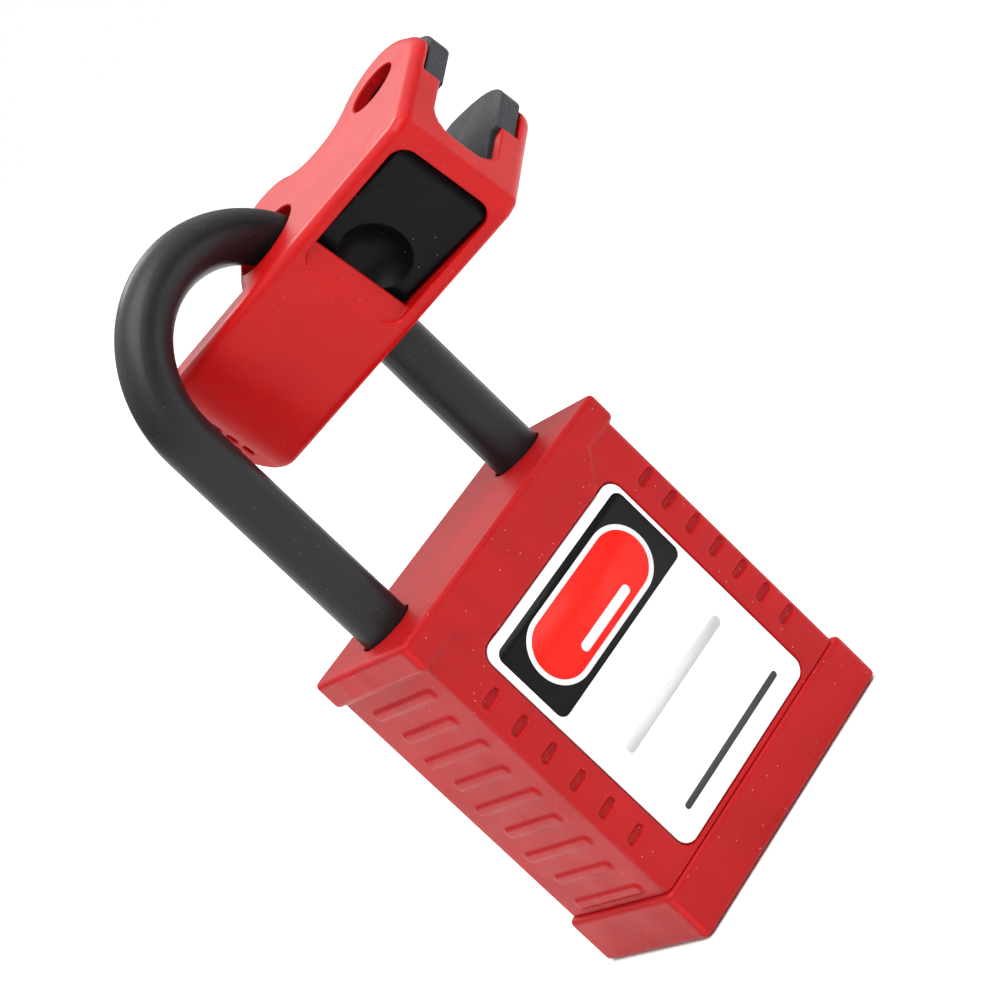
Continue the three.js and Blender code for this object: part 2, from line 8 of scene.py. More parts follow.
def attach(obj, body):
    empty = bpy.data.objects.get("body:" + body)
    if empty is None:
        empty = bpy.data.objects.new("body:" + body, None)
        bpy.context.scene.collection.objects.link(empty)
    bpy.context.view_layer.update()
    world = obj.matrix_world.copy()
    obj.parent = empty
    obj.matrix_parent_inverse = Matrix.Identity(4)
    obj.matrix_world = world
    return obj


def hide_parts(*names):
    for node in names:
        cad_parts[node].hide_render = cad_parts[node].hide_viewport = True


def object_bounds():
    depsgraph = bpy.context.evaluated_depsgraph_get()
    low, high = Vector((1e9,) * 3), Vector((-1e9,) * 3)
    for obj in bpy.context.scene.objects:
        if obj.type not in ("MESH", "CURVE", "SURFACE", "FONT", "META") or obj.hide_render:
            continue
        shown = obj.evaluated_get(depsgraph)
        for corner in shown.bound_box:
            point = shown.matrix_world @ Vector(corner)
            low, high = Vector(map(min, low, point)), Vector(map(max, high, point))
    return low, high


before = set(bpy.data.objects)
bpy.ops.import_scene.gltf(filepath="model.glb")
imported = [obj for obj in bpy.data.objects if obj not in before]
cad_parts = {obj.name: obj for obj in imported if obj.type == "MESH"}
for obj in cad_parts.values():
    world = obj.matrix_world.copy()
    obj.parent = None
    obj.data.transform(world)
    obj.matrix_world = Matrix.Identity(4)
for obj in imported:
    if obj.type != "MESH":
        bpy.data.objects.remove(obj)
cad_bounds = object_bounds()

MM = 0.001  # shapes are drawn in millimetres and scaled to metres at the end
scene = bpy.context.scene

# ------------------------------------------------------------------ outlines


class Outline:
    """A closed outline, drawn point by point."""

    def __init__(self, x, y):
        self.points = [(x, y)]

    def line(self, *points):
        self.points += points
        return self

    def bend(self, control, end, steps=12):
        """A quadratic curve to end, drawn towards control on its way."""
        start = Vector(self.points[-1])
        control = Vector(control)
        for i in range(1, steps + 1):
            t = i / steps
            p = start * (1 - t) ** 2 + control * 2 * t * (1 - t) + Vector(end) * t * t
            self.points.append((p.x, p.y))
        return self

    def arc(self, cx, cy, radius, start, end, steps=12):
        """A round stretch about (cx, cy), from one angle to the other in degrees."""
        for i in range(steps + 1):
            a = math.radians(start + (end - start) * i / steps)
            self.points.append((cx + radius * math.cos(a), cy + radius * math.sin(a)))
        return self


def rounded(width, height, corner, centre=(0, 0), steps=8):
    """A rectangle with round corners."""
    w, h = width / 2 - corner, height / 2 - corner
    corners = ((w, -h, -90), (w, h, 0), (-w, h, 90), (-w, -h, 180))
    points = []
    for x, y, start in corners:
        for i in range(steps + 1):
            a = math.radians(start + 90 * i / steps)
            x1 = centre[0] + x + corner * math.cos(a)
            points.append((x1, centre[1] + y + corner * math.sin(a)))
    return points


def circle(radius, centre=(0, 0), steps=64):
    angles = [2 * math.pi * i / steps for i in range(steps)]
    return [(centre[0] + radius * math.cos(a), centre[1] + radius * math.sin(a)) for a in angles]


def span(side, inner, outer):
    """From inner to outer on one side of the middle (1 or -1), with the lower end first."""
    return sorted((side * inner, side * outer))


def mirrored(points):
    """An outline's mirror image in the middle, still drawn the same way round."""
    return [(-x, y) for x, y in reversed(points)]


# ------------------------------------------------------------------ solids
# Each turns a shape drawn in XY and raised along Z into one that stands in another plane.
STAND = Matrix(((1, 0, 0, 0), (0, 0, -1, 0), (0, 1, 0, 0), (0, 0, 0, 1)))  # XY to XZ, Z to -Y
SIDE = Matrix(((0, 0, 1, 0), (1, 0, 0, 0), (0, 1, 0, 0), (0, 0, 0, 1)))  # XY to YZ, Z to X


def evaluated(obj):
    """The mesh that an object makes with its modifiers. The object itself is deleted."""
    graph = bpy.context.evaluated_depsgraph_get()
    mesh = bpy.data.meshes.new_from_object(obj.evaluated_get(graph))
    data = obj.data
    bpy.data.objects.remove(obj)
    if isinstance(data, bpy.types.Curve):
        bpy.data.curves.remove(data)
    return mesh


def holder(data, name="work"):
    """A new object in the scene with this mesh, curve, light or camera."""
    obj = bpy.data.objects.new(name, data)
    scene.collection.objects.link(obj)
    return obj


def polyline(curve, points, closed):
    """One spline of straight stretches through the points."""
    spline = curve.splines.new("POLY")
    spline.points.add(len(points) - 1)
    for point, place in zip(spline.points, points):
        point.co = (*place, 1)
    spline.use_cyclic_u = closed


def extrude(points, low, high, edge=0.0, turn=None):
    """A solid of an outline from low to high, with round edges of radius edge."""
    curve = bpy.data.curves.new("work", "CURVE")
    curve.dimensions = "2D"
    curve.fill_mode = "BOTH"
    curve.extrude = (high - low) / 2 - edge
    curve.bevel_depth = edge
    curve.bevel_resolution = 4
    curve.offset = -edge
    polyline(curve, [(x, y, 0) for x, y in points], closed=True)
    mesh = evaluated(holder(curve))
    mesh.transform(Matrix.Translation((0, 0, (low + high) / 2)))
    if turn:
        mesh.transform(turn)
    work = bmesh.new()
    work.from_mesh(mesh)
    bmesh.ops.remove_doubles(work, verts=work.verts, dist=1e-4)
    bmesh.ops.recalc_face_normals(work, faces=work.faces)
    work.to_mesh(mesh)
    work.free()
    return mesh


def rod(axis, radius, low, high, centre=(0, 0)):
    """A round bar along z, y or x, from low to high."""
    turn = {"z": None, "y": STAND, "x": SIDE}[axis]
    if axis == "y":
        low, high = -high, -low
    return extrude(circle(radius, centre), low, high, turn=turn)


def block(x0, x1, y0, y1, z0, z1):
    return extrude([(x0, y0), (x1, y0), (x1, y1), (x0, y1)], z0, z1)


def ball(radius, centre):
    mesh = bpy.data.meshes.new("work")
    work = bmesh.new()
    bmesh.ops.create_icosphere(work, subdivisions=5, radius=radius)
    work.to_mesh(mesh)
    work.free()
    mesh.transform(Matrix.Translation(centre))
    return mesh


def together(*meshes):
    """Several closed meshes in one, overlapping or not."""
    work = bmesh.new()
    for mesh in meshes:
        work.from_mesh(mesh)
    result = bpy.data.meshes.new("work")
    work.to_mesh(result)
    work.free()
    return result


def boolean(mesh, others, operation="DIFFERENCE"):
    """What is left of the mesh once the others are cut from it, or of both with INTERSECT."""
    obj = holder(mesh)
    tool = holder(together(*others))
    modifier = obj.modifiers.new("cut", "BOOLEAN")
    modifier.operation = operation
    modifier.solver = "EXACT"
    modifier.use_self = True
    modifier.object = tool
    result = evaluated(obj)
    bpy.data.objects.remove(tool)
    return result


def soften(mesh, voxel, rounds):
    """One skin over everything in the mesh, with its edges eased, as moulding leaves them."""
    obj = holder(mesh)
    remesh = obj.modifiers.new("skin", "REMESH")
    remesh.mode = "VOXEL"
    remesh.voxel_size = voxel
    ease = obj.modifiers.new("ease", "SMOOTH")
    ease.factor = 0.5
    ease.iterations = rounds
    return evaluated(obj)


def piece(name, mesh, material, body, stands_for=(), place=None):
    """The finished piece, in metres, riding on its body."""
    if place:
        mesh.transform(place)
    mesh.transform(Matrix.Scale(MM, 4))
    for polygon in mesh.polygons:
        polygon.use_smooth = True
    mesh.materials.clear()
    mesh.materials.append(material)
    obj = holder(mesh, name)
    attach(obj, body)
    if stands_for:
        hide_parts(*stands_for)


# ------------------------------------------------------------------ materials
DUST = (0.8, 0.76, 0.76, 1)
WHITE = (1, 1, 1, 1)


class Nodes:
    """A node tree whose nodes are added and linked by name."""

    def __init__(self, tree):
        self.tree = tree

    def feed(self, socket, value):
        """Links a socket to another node's output, or sets it to a number or a colour."""
        if isinstance(value, bpy.types.NodeSocket):
            self.tree.links.new(value, socket)
        else:
            socket.default_value = value

    def node(self, kind, inputs=None, **settings):
        node = self.tree.nodes.new("ShaderNode" + kind)
        for key, value in settings.items():
            setattr(node, key, value)
        for key, value in (inputs or {}).items():
            self.feed(node.inputs[key], value)
        return node

    def math(self, operation, a, b=0.0):
        return self.node("Math", {0: a, 1: b}, operation=operation).outputs[0]

    def ramp(self, value, low, high, out_low=0.0, out_high=1.0):
        """From out_low to out_high while value goes from low to high, and level beyond."""
        inputs = {0: value, 1: low, 2: high, 3: out_low, 4: out_high}
        return self.node("MapRange", inputs).outputs[0]


class Shader(Nodes):
    """A material, with patterns that are measured in millimetres on the object."""

    def __init__(self, name):
        self.material = bpy.data.materials.new(name)
        self.material.use_nodes = True
        super().__init__(self.material.node_tree)
        self.surface = self.tree.nodes["Principled BSDF"]
        self.place = self.node("TexCoord").outputs["Object"]

    def noise(self, size_mm, detail=2.0, stretch=(1, 1, 1)):
        """Noise whose features are about size_mm across."""
        scale = self.node("Mapping", {"Vector": self.place, "Scale": stretch}).outputs[0]
        inputs = {"Vector": scale, "Scale": 1 / (size_mm * MM), "Detail": detail}
        return self.node("TexNoise", inputs).outputs["Fac"]

    def mix(self, factor, a, b):
        """Colour a where factor is 0, and colour b where it is 1."""
        node = self.node("Mix", data_type="RGBA")
        for index, value in ((0, factor), (6, a), (7, b)):  # 6 and 7 are the colour sockets
            self.feed(node.inputs[index], value)
        return node.outputs[2]

    def relief(self, height, depth_mm, under=None):
        inputs = {"Height": height, "Distance": depth_mm * MM, "Strength": 1.0}
        if under:
            inputs["Normal"] = under
        return self.node("Bump", inputs).outputs[0]

    def specks(self, spacing_mm, radius_mm):
        """Tiny round specks, 1 where there is one."""
        inputs = {"Vector": self.place, "Scale": 1 / (spacing_mm * MM)}
        distance = self.node("TexVoronoi", inputs).outputs["Distance"]
        return self.math("LESS_THAN", distance, radius_mm / spacing_mm)

    def finish(self, colour, roughness, normal=None, **sockets):
        self.feed(self.surface.inputs["Base Color"], colour)
        self.feed(self.surface.inputs["Roughness"], roughness)
        if normal:
            self.feed(self.surface.inputs["Normal"], normal)
        for key, value in sockets.items():
            self.surface.inputs[key.replace("_", " ")].default_value = value
        return self.material


def tone(colour, gain):
    return (*[min(1.0, c * gain) for c in colour], 1.0)


def moulded(
    name, colour, roughness, grain_mm, grain_depth, seam=False, glow=0.0, dust=0.5, shine=0.17
):
    """Injection-moulded nylon: clouded colour, a fine grain, a painted highlight on the edges,
    painted shade in the creases and a little dust.
    """
    s = Shader(name)
    clouds = s.ramp(s.noise(9, 3), 0.35, 0.65)
    flow = s.ramp(s.noise(2.2, 2, (1, 1, 0.35)), 0.3, 0.7)
    cloudiness = s.math("ADD", s.math("MULTIPLY", clouds, 0.65), s.math("MULTIPLY", flow, 0.35))
    body = s.mix(cloudiness, tone(colour, 0.9), tone(colour, 1.07))
    edge = s.node("NewGeometry").outputs["Pointiness"]
    # Painted highlight: convex edges are mixed towards a brighter red, standing in for light
    # shining through the nylon's rounded edges.
    painted_edge_highlight = s.ramp(edge, 0.515, 0.6)
    body = s.mix(s.math("MULTIPLY", painted_edge_highlight, 0.55), body, tone(colour, 1.6))
    # Painted shade: hollows and creases are mixed towards a darker red.
    painted_crease_shade = s.ramp(edge, 0.49, 0.42)
    body = s.mix(s.math("MULTIPLY", painted_crease_shade, 0.6), body, tone(colour, 0.45))
    flecks = s.specks(1.15, 0.055)
    body = s.mix(s.math("MULTIPLY", flecks, dust), body, DUST)
    rubbed = s.ramp(s.noise(5, 4), 0.3, 0.7, roughness - 0.06, roughness + 0.07)
    height = s.math("ADD", s.noise(grain_mm, 2), s.math("MULTIPLY", flecks, 0.8))
    waves = s.relief(s.noise(7, 1), 0.05)
    normal = s.relief(height, grain_depth, waves)
    if seam:
        # The line where the mould's halves meet, half way through the depth.
        y = s.node("SeparateXYZ", {0: s.place}).outputs[1]
        off = s.math("ABSOLUTE", y)
        line = s.ramp(off, 0.02 * MM, 0.09 * MM, 1.0, 0.0)
        normal = s.relief(line, 0.035, normal)
    return s.finish(
        body, rubbed, normal, Subsurface_Weight=glow, Subsurface_Radius=(1.0, 0.12, 0.08),
        Subsurface_Scale=0.6 * MM, Specular_IOR_Level=shine,
    )


def plain_film(name, colour, roughness, coat=0.0):
    """Printed film on the label: nearly even, with faint waves in its gloss."""
    s = Shader(name)
    shade = s.mix(s.ramp(s.noise(3, 2), 0.3, 0.7), tone(colour, 0.97), tone(colour, 1.02))
    rubbed = s.ramp(s.noise(1.5, 3), 0.3, 0.7, roughness - 0.03, roughness + 0.05)
    normal = s.relief(s.noise(6, 1), 0.004)
    return s.finish(
        shade, rubbed, normal, Coat_Weight=coat, Coat_Roughness=0.08, Specular_IOR_Level=0.12
    )


def metal(name, colour, roughness):
    """Machined metal: a little tarnish, and fine tool marks round the piece."""
    s = Shader(name)
    tarnish = s.ramp(s.noise(3, 4), 0.3, 0.7)
    shade = s.mix(tarnish, tone(colour, 0.78), tone(colour, 1.05))
    tool = s.noise(0.12, 3, (1, 1, 0.04))
    rubbed = s.ramp(tool, 0.3, 0.7, roughness - 0.08, roughness + 0.12)
    return s.finish(shade, rubbed, s.relief(tool, 0.008), Metallic=1.0)


RED = (0.35, 0.0045, 0.0060)
RED_GLOSSY = (0.41, 0.0045, 0.0050)
body_red = moulded("nylon_red", RED, 0.40, 0.22, 0.012, seam=True, glow=0.1)
clamp_red = moulded("nylon_red_clamp", RED_GLOSSY, 0.33, 0.3, 0.006, glow=0.1, dust=0.15)
black = moulded("nylon_black", (0.0075, 0.0075, 0.009), 0.36, 0.25, 0.008, dust=0.12, shine=0.3)
# A darker copy of the black nylon. Its darker base colour is painted shade, standing in for the
# dark surroundings that the slider reflects.
slider_black_painted_shade = moulded(
    "nylon_black_slider_painted_shade", (0.003, 0.003, 0.004), 0.38, 0.3, 0.008, dust=0.25, shine=0.1
)
grip = moulded("grip_grey", (0.032, 0.031, 0.036), 0.55, 0.45, 0.16, dust=0.1)
label_white = plain_film("label_white", (0.83, 0.83, 0.835), 0.25, 0.1)
print_black = plain_film("print_black", (0.003, 0.003, 0.004), 0.35)
print_red = plain_film("print_red", (0.82, 0.014, 0.008), 0.35)
print_grey = plain_film("print_grey", (0.05, 0.05, 0.053), 0.35)
print_silver = plain_film("print_silver", (0.55, 0.55, 0.56), 0.3)
brass = metal("brass_machined", (0.72, 0.48, 0.16), 0.28)
steel = metal("steel_machined", (0.56, 0.57, 0.58), 0.3)

# ------------------------------------------------------------------ sizes that pieces share
GAP = 0.3  # between pieces that move or fit in each other
W, D, H = 38.4, 20.6, 45.0  # the body's width, depth and height, below its top face at z 0
LIP_H, COVER_H = 3.7, 6.4  # the proud lip at the top, and the bottom cover
FACE_X = W / 2 - 0.8  # the narrow sides and the broad faces stand back from the lip
FACE_Y = D / 2 - 0.3
CORNER, EASE = 0.95, 0.6  # upright corners of the lip and the cover, and their other edges
COVER_TOP = -H + COVER_H
LEG_X, LEG_R, LEG_RISE = 13.24, 3.05, 28.2  # the shackle's legs, up to where the bow starts
TOE_END, HEEL_END = -9.5, -29.5
RISE = 10.5  # how far the shackle jumps up
LATCH_RATE = 0.3  # how far a latch draws back for each millimetre of that
PIN_R, PIN_Z = 1.0, -16  # the stop pin, beside a flat that is cut in the heel leg
FLAT_X = -LEG_X + LEG_R - 1.4
PIN_X = FLAT_X + GAP + PIN_R
PLAY = 0.2  # round the shackle's legs and the stop pin
BARREL_R = 5.8  # room for the lock cylinder
CHAMBER_HALF, CHAMBER_REACH = 2.9, 8.9  # room for its pin chambers, behind it
LABEL_W, LABEL_H, LABEL_Z = 26.2, 30.5, -22.55

# ------------------------------------------------------------------ body shell and cover
DASH_COLUMNS = ((-16.1, -10.8, -4.24, 6), (16.4, -10.5, -3.67, 7))  # x, first z, step, count
SINK = 0.5  # how deep the dashes and the labels' recesses are
RIB_LENGTHS = (13.0, 11.0)
RIB_COUNT, RIB_H, RIB_TOP, RIB_STEP = 9, 1.15, -6.6, 3.8
RIB_PROUD = 0.26


def ribs():
    """Low bars across both narrow sides, long and short in turn."""
    meshes = []
    for i in range(RIB_COUNT):
        centre = (0, RIB_TOP - RIB_STEP * i)
        outline = rounded(RIB_LENGTHS[i % 2], RIB_H, RIB_H / 2 - 0.005, centre)
        for side in (-1, 1):
            low, high = span(side, FACE_X - 0.5, FACE_X + RIB_PROUD)
            meshes.append(extrude(outline, low, high, edge=0.12, turn=SIDE))
    return meshes


def dashes():
    """Plain marks beside the front label, in place of moulded lettering."""
    meshes = []
    for x, first, step, count in DASH_COLUMNS:
        for i in range(count):
            outline = rounded(2.7, 1.0, 0.49, (x, first + step * i))
            meshes.append(extrude(outline, FACE_Y - SINK, FACE_Y + 0.6, turn=STAND))
    return meshes


def recesses():
    outline = rounded(LABEL_W + 0.5, LABEL_H + 0.5, 1.9, (0, LABEL_Z))
    spans = [span(side, FACE_Y - SINK, FACE_Y + 1.5) for side in (1, -1)]
    return [extrude(outline, low, high, turn=STAND) for low, high in spans]


def body_shell():
    core = extrude(rounded(2 * FACE_X, 2 * FACE_Y, 0.9), COVER_TOP + 0.02, -1)
    lip = extrude(rounded(W, D, CORNER), -LIP_H, 0, edge=EASE)
    tab = Outline(-13.6, -1.5).line((-13.6, -LIP_H), (-10.2, -7.2), (10.2, -7.2))
    tab.line((13.6, -LIP_H), (13.6, -1.5))
    tabs = extrude(tab.points, -D / 2, D / 2, edge=0.05, turn=STAND)
    below = COVER_TOP + GAP - 1
    inside = [
        rod("z", LEG_R + PLAY, TOE_END - 1, 1, (LEG_X, 0)),
        rod("z", LEG_R + PLAY, below, 1, (-LEG_X, 0)),
        block(-12, 12, -2.3, 2.3, -6.8, -3.2),  # the latches' way
        rod("z", BARREL_R, below, -3.0),
        block(-CHAMBER_HALF, CHAMBER_HALF, 0, CHAMBER_REACH, below, -20),
        rod("y", PIN_R + PLAY, -6.2, 6.2, (PIN_X, PIN_Z)),
    ]
    shell = together(core, lip, tabs, *ribs())
    shell = boolean(shell, dashes() + recesses() + inside)
    return soften(shell, voxel=0.16, rounds=3)


def base_cover():
    cover = extrude(rounded(W, D, CORNER), -H, COVER_TOP, edge=EASE)
    barrel = rod("z", BARREL_R, -H - 1, COVER_TOP + 1)
    chambers = block(-CHAMBER_HALF, CHAMBER_HALF, 0, CHAMBER_REACH, -H + 1.7, COVER_TOP + 0.6)
    return soften(boolean(cover, [barrel, chambers]), voxel=0.16, rounds=3)


piece("shell_look", body_shell(), body_red, "lock_body", ["body_shell"])
piece("cover_look", base_cover(), body_red, "lock_body", ["base_cover"])

# ------------------------------------------------------------------ labels
FILM = FACE_Y - 0.1  # how far the labels' faces are from the middle
INK = 0.012  # how far each printed layer stands above the one below
UNDER = 0.05  # how far a layer that lies on the film starts below its face
PRINT_X = 0.2


def sheet(side, outline, inner, outer, edge=0.0):
    """A thin plate on the front (side 1) or the back (-1)."""
    return extrude(outline, *span(side, inner, outer), edge, STAND)


def label(name, side):
    film = sheet(side, rounded(LABEL_W, LABEL_H, 1.7, (0, LABEL_Z)), FILM - 0.3, FILM, 0.06)
    piece(f"{name}_label_look", film, label_white, "lock_body", [f"{name}_label"])


def layer(name, side, outline, level, ink):
    """Something printed, so many layers above the film."""
    low = FILM - UNDER if level == 1 else FILM
    plate = sheet(side, outline, low, FILM + level * INK)
    piece(name, plate, ink, "lock_body")


def rules(name, side, rows):
    for i, (z, height, width, ink) in enumerate(rows):
        outline = rounded(width, height, height / 2 - 0.01, (PRINT_X, z))
        layer(f"{name}_rule_{i + 1}", side, outline, 1, ink)


label("front", 1)
badge_centre = (PRINT_X, -13.7)
layer("front_header", 1, rounded(24.8, 10.1, 1.1, (PRINT_X, -13.6)), 1, print_black)
layer("front_ring", 1, rounded(20.6, 8.3, 4.1, badge_centre, 16), 2, label_white)
layer("front_badge", 1, rounded(19.4, 7.1, 3.5, badge_centre, 16), 3, print_red)
layer("front_badge_bar", 1, rounded(9.4, 1.1, 0.54, (PRINT_X, -15.9)), 4, label_white)
rules("front", 1, [(-26.2, 1.35, 19.6, print_silver), (-35.1, 0.8, 19.8, print_grey)])
label("back", -1)
rules("back", -1, [(z, 0.28, 20.0, print_grey) for z in (-14.0, -19.7, -25.4, -31.1)])

# ------------------------------------------------------------------ shackle


def shackle():
    path = [(-LEG_X, 0, HEEL_END + (LEG_RISE - HEEL_END) * i / 24) for i in range(24)]
    for i in range(73):
        a = math.pi * i / 72
        path.append((-LEG_X * math.cos(a), 0, LEG_RISE + LEG_X * math.sin(a)))
    path += [(LEG_X, 0, LEG_RISE + (TOE_END - LEG_RISE) * i / 16) for i in range(1, 17)]
    curve = bpy.data.curves.new("work", "CURVE")
    curve.dimensions = "3D"
    curve.bevel_depth = LEG_R
    curve.bevel_resolution = 10
    curve.use_fill_caps = True
    polyline(curve, path, closed=False)
    bow = evaluated(holder(curve))

    # The latches' notches. Their lower sides slope, as the latches draw back while it rises.
    inner = LEG_X - LEG_R
    outside = inner - 0.3
    top, bottom, depth = -3.1, -6.9, 12.1
    foot = bottom - (depth - outside) / LATCH_RATE
    notch = Outline(inner - 1, top).line((depth, top), (depth, bottom), (outside, foot))
    notch.line((inner - 1, foot))
    notches = (notch.points, mirrored(notch.points))
    cuts = [extrude(points, -4, 4, turn=STAND) for points in notches]
    cuts.append(block(FLAT_X, FLAT_X + 5, -4, 4, PIN_Z - 1.3 - RISE, PIN_Z + 1.3))
    return soften(boolean(bow, cuts), voxel=0.2, rounds=5)


piece("shackle_look", shackle(), black, "shackle", ["shackle"])

# ------------------------------------------------------------------ breaker clamp
# Drawn round its own bore: x across it, y towards its head and z towards its front.
HALF = 7.9  # half its width
FRONT, HEAD, TAIL, TAIL_END = 10.2, 22.4, -15.8, -19.2
LEAN = math.tan(math.radians(14))  # the head's end leans outwards, further down
LEDGE_Z = -1  # where the jaws step out to the head's full length
ROOM_X = 6.4  # outer wall of every room beside the middle
BORE_R = 4.5  # round the shackle
HOLE_R, HOLE = 3.2, (18.55, -6.7)
OFF_BOW = Vector((-0.75, 0.69, -1.85))  # the bore hangs so far off the bow's middle line
BEYOND = 20  # past both sides of the clamp
FAR = 40  # past the head


def clamp_place():
    """Where the clamp hangs on the right shoulder of the bow."""
    arc, swing, roll = math.radians(8.25), math.radians(50), math.radians(4.6)
    across = Vector((math.sin(arc), 0, -math.cos(arc)))
    outward = Vector((math.cos(arc), 0, math.sin(arc)))
    headward = outward * math.cos(swing) + Vector((0, -1, 0)) * math.sin(swing)
    across.rotate(Matrix.Rotation(roll, 3, headward))
    place = Matrix((across, headward, across.cross(headward))).transposed().to_4x4()
    on_bow = Vector((LEG_X * math.cos(arc), 0, LEG_RISE + LEG_X * math.sin(arc)))
    place.translation = on_bow + OFF_BOW
    return place


def head_plane(z):
    """How far out the head's leaning end is, at height z."""
    return HEAD + (FRONT - z) * LEAN


def side_view():
    """The clamp from the side, with a hump round the bore and one round the hole."""
    shape = Outline(HEAD - 1.2, FRONT).line((TAIL + 0.9, FRONT))
    shape.bend((TAIL, FRONT), (TAIL - 0.9, FRONT - 0.8))
    shape.arc(TAIL_END + 1.2, FRONT - 3.2, 1.2, 126, 270).line((-4.4, FRONT - 4.5))
    shape.bend((-5, 3), (-5.1, -7)).bend((-5, -13.4), (-1, -13.5)).bend((2.4, -13.4), (4.4, -10.6))
    shape.bend((6.6, -8.2), (9.6, -8.3)).bend((12, -8.4), (13.4, -11))
    shape.bend((16, -14.9), (20.2, -14.3)).bend((23, -13.4), (24.6, -10))
    shape.bend((head_plane(-7) - 0.1, -7.2), (head_plane(-4.6), -4.6))
    return shape.line((head_plane(FRONT - 1.1), FRONT - 1.1)).points


def front_view():
    """The clamp from the front, with round corners on its tail."""
    corner = 5
    shape = Outline(-HALF, FAR).line((-HALF, TAIL_END + corner))
    shape.arc(-HALF + corner, TAIL_END + corner, corner, 180, 270)
    shape.arc(HALF - corner, TAIL_END + corner, corner, 270, 360)
    return shape.line((HALF, FAR)).points


def jaw_outline(grow=0.0):
    """A jaw from the side, or the room that it slides in, with grow as its gap."""
    step = LEDGE_Z - GAP

    def inside(z):
        return head_plane(z) - 1.55 + grow

    shape = Outline(12.7 - grow, 4.6 + grow).line((inside(4.6 + grow), 4.6 + grow))
    shape.line((inside(step), step), (head_plane(step) - 0.3, step))
    shape.line((head_plane(-7.3) - 0.3, -7.3))
    shape.bend((head_plane(-7.3) - 0.6, -13.2 - grow), (18.4, -14.8 - grow))
    shape.line((16.4, -14.4 - grow)).bend((14 - grow, -13 - grow), (12.7 - grow, -9 - grow))
    return shape.points


def toggle_way():
    """The way of the breaker's toggle between the jaws, arched, with a sloping floor."""
    half, floor_z, radius = 4.15, FRONT - 3.6, 3
    arch = Outline(-half, -30).line((half, -30))
    arch.arc(half - radius, floor_z - radius, radius, 0, 90)
    arch.arc(-half + radius, floor_z - radius, radius, 90, 180)
    wedge = [(13, 9), (HEAD + 1, 9), (HEAD + 1, floor_z + 0.5), (14, 3.2), (13, 3.2)]
    way = extrude(arch.points, -FAR, -14.6, turn=STAND)
    return boolean(way, [extrude(wedge, -6, 6, turn=SIDE)])


def window():
    """The slider's window, with a ramp down to it from the tail's side."""
    low = 8.55
    ramp = Outline(2.6, FRONT - 0.1).line((3.45, FRONT - 0.1), (6.3, 8.95), (6.3, low), (2.6, low))
    opening = extrude(rounded(12.4, 16.85, 2, (0, 12.075)), 7.55, 12)
    return boolean(opening, [extrude(ramp.points, -7, 7, turn=SIDE)])


def dimples():
    """Small ovals in the tail's sloping end, for the fingernail."""
    meshes = []
    for row, (y, z) in enumerate(((TAIL - 1.5, FRONT - 1.2), (TAIL - 2.4, FRONT - 1.87))):
        for i in range(4 - row):
            dimple = extrude(rounded(1.5, 0.62, 0.3), -0.55, 0.5)
            dimple.transform(Matrix.Rotation(math.radians(35.5), 4, "X"))
            dimple.transform(Matrix.Translation(((i - (3 - row) / 2) * 2.2, y, z)))
            meshes.append(dimple)
    return meshes


def clamp_housing():
    cuts = [
        rod("x", BORE_R, -BEYOND, BEYOND),
        rod("x", HOLE_R, -BEYOND, BEYOND, HOLE),
        toggle_way(),
        window(),
        block(-6.2, 6.2, 1.8, 12.4, 5.2, 8.55),  # the slider's room
    ]
    for side in (1, -1):
        cuts.append(extrude(jaw_outline(GAP), *span(side, 1.5, ROOM_X), turn=SIDE))
    # Rooms for the jaws' feet, for the jaws' way out of the head and for the slider's legs.
    rooms = (
        (1, 7.2, 13.8, -6.3, 4.3), (3.6, 14, FAR, -30, LEDGE_Z), (3.8, 7.2, 12.9, -4, 6),
    )
    for inner, *walls in rooms:
        for side in (1, -1):
            cuts.append(block(*span(side, inner, ROOM_X), *walls))
    housing = extrude(side_view(), -HALF, HALF, edge=1.2, turn=SIDE)
    housing = boolean(housing, [extrude(front_view(), -BEYOND, BEYOND)], "INTERSECT")
    return soften(boolean(housing, cuts + dimples()), voxel=0.14, rounds=6)


def clamp_slider():
    """The thumb slider, with a ball's dish for the thumb and a wedge leg on each side."""
    side = Outline(4.6, 5.5).line((12.1, 5.5), (12.1, 7.85), (20.15, 7.85), (20.15, 9.0))
    side.line((19.1, 9.8), (6.1, 7.65), (4.6, 7.5))
    slider = extrude(side.points, -5.9, 5.9, edge=0.35, turn=SIDE)
    plan = extrude(rounded(11.8, 32, 1.5, (0, 4.3)), 0, 20)
    slider = boolean(slider, [plan], "INTERSECT")
    leg = [(6.1, 10), (6.1, 12.4), (4.3, 12.4), (5.5, 10)]
    legs = [extrude(points, -3, 5.8) for points in (leg, mirrored(leg))]
    slider = boolean(together(slider, *legs), [ball(5, (0.2, 7.9, 11))])
    return soften(slider, voxel=0.12, rounds=4)


def clamp_jaw(side):
    """A jaw plate and its foot, whose slope the slider's leg pushes on."""
    clear = GAP * math.hypot(1, 0.5)
    slope = ((5.55 - clear, 9.9), (4.15 - clear, 12.7))
    foot = Outline(2.6, 13.4).line((2.6, 9.9), *slope, (5, 12.7), (5, 13.4))
    plate = extrude(jaw_outline(), *span(side, 3.6, 6.1), 0.12, SIDE)
    jaw = together(plate, extrude([(side * x, y) for x, y in foot.points], -5.9, 4))
    return soften(jaw, voxel=0.12, rounds=3)


CLAMP_PLACE = clamp_place()
piece(
    "clamp_look", clamp_housing(), clamp_red, "clamp", ["clamp_housing"],
    CLAMP_PLACE,
)
piece(
    "slider_look", clamp_slider(), slider_black_painted_shade, "clamp_slider",
    ["clamp_slider"], CLAMP_PLACE,
)
for name, side in (("right", 1), ("left", -1)):
    jaw = f"clamp_jaw_{name}"
    piece(f"jaw_{name}_look", clamp_jaw(side), grip, jaw, [jaw], CLAMP_PLACE)

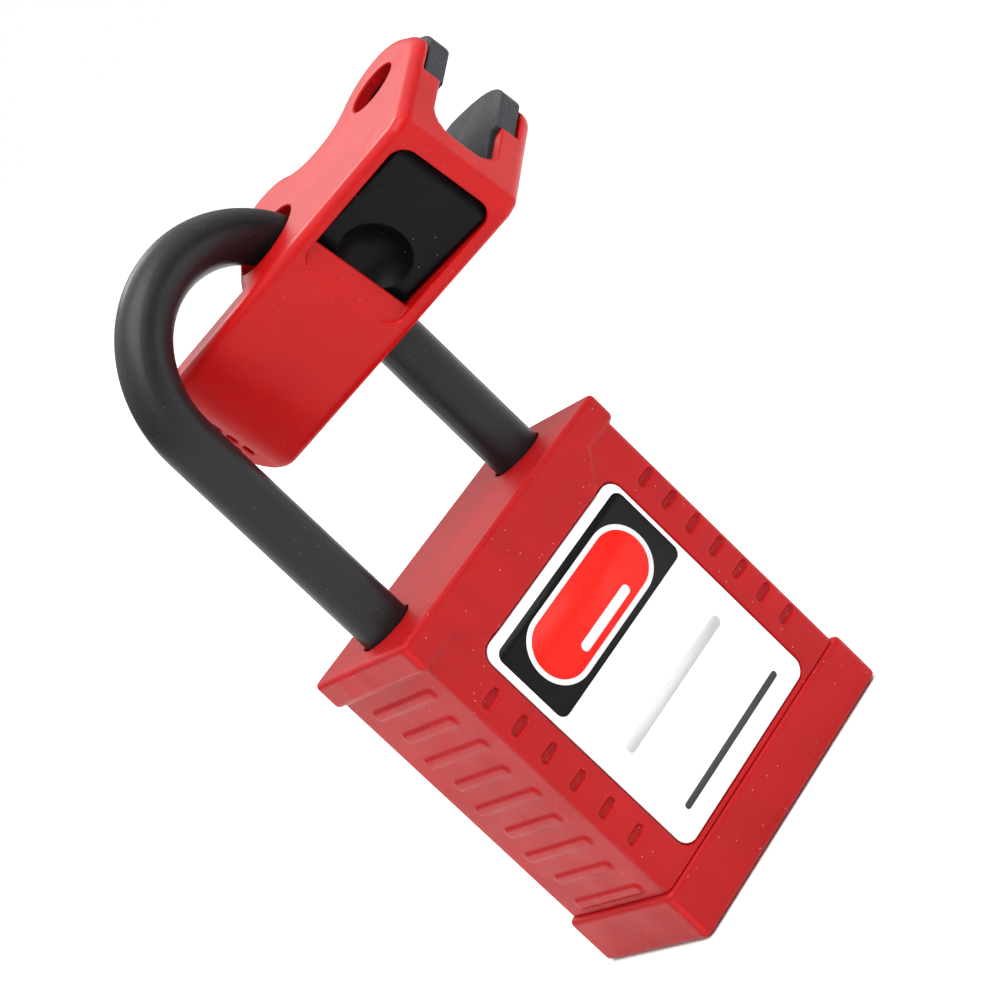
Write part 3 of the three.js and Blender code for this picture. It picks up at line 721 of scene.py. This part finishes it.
# ------------------------------------------------------------------ CAD pieces that stay
BRASS_NODES = ("cylinder_housing", "plug", "pin_chamber_strip")
for name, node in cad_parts.items():
    if node.hide_render:
        continue
    is_brass = name in BRASS_NODES or name.startswith(("key_pin", "driver_pin"))
    for slot in node.material_slots:
        slot.material = brass if is_brass else steel

# ------------------------------------------------------------------ stage, light and camera
floor_mesh = bpy.data.meshes.new("floor")
work = bmesh.new()
bmesh.ops.create_grid(work, x_segments=8, y_segments=8, size=6)
work.to_mesh(floor_mesh)
work.free()
floor_mesh.transform(Matrix.Translation((0, 0, cad_bounds[0][2] - 0.0002)))
pale = Shader("floor_pale")
floor_tone = pale.mix(pale.noise(60), (0.90, 0.90, 0.90, 1), (0.92, 0.92, 0.92, 1))
floor_mesh.materials.append(pale.finish(floor_tone, 0.85))
floor = holder(floor_mesh, "floor")

# Bright overhead and dimmer towards the horizon, with a white backdrop behind it all.
world = bpy.data.worlds.new("studio")
world.use_nodes = True
sky = Nodes(world.node_tree)
direction = sky.node("TexCoord").outputs["Generated"]
height = sky.node("SeparateXYZ", {0: direction}).outputs[2]
brightness = sky.ramp(height, 0.05, 0.9, 0.12, 1.75)
seen = sky.node("LightPath").outputs["Is Camera Ray"]
background = sky.tree.nodes["Background"]
sky.feed(background.inputs["Color"], WHITE)
sky.feed(background.inputs["Strength"], sky.math("MAXIMUM", seen, brightness))
scene.world = world


def softbox(name, place, size, power):
    """A square lamp that the camera doesn't see, aimed at the lock."""
    light = bpy.data.lights.new(name, "AREA")
    light.shape = "SQUARE"
    light.size = size
    light.energy = power
    obj = holder(light, name)
    obj.location = place
    obj.rotation_euler = (-Vector(place)).to_track_quat("-Z", "Y").to_euler()
    obj.visible_camera = False


softbox("top", (-0.1, -0.35, 0.75), 0.7, 6.0)
softbox("left", (-0.6, -0.5, 0.5), 0.6, 0.7)
softbox("behind", (0.23, 0.50, 0.50), 0.25, 0.9)

# The camera, fitted to the edges of the body in the photo.
CAMERA_PLACE = (-0.153073, -0.266265, 0.064299)
CAMERA_HEADING, CAMERA_PITCH, CAMERA_ROLL = -31.1068, -11.9617, -46.0971  # degrees
camera_data = bpy.data.cameras.new("camera")
camera_data.sensor_width = 36
camera_data.lens = 106.01
camera_data.clip_start = 0.01
camera = holder(camera_data, "camera")
view = Matrix.Translation(CAMERA_PLACE)
for angle, axis in ((CAMERA_HEADING, "Z"), (90 + CAMERA_PITCH, "X"), (CAMERA_ROLL, "Z")):
    view @= Matrix.Rotation(math.radians(angle), 4, axis)
camera.matrix_world = view
scene.camera = camera
scene.view_settings.view_transform = "Standard"
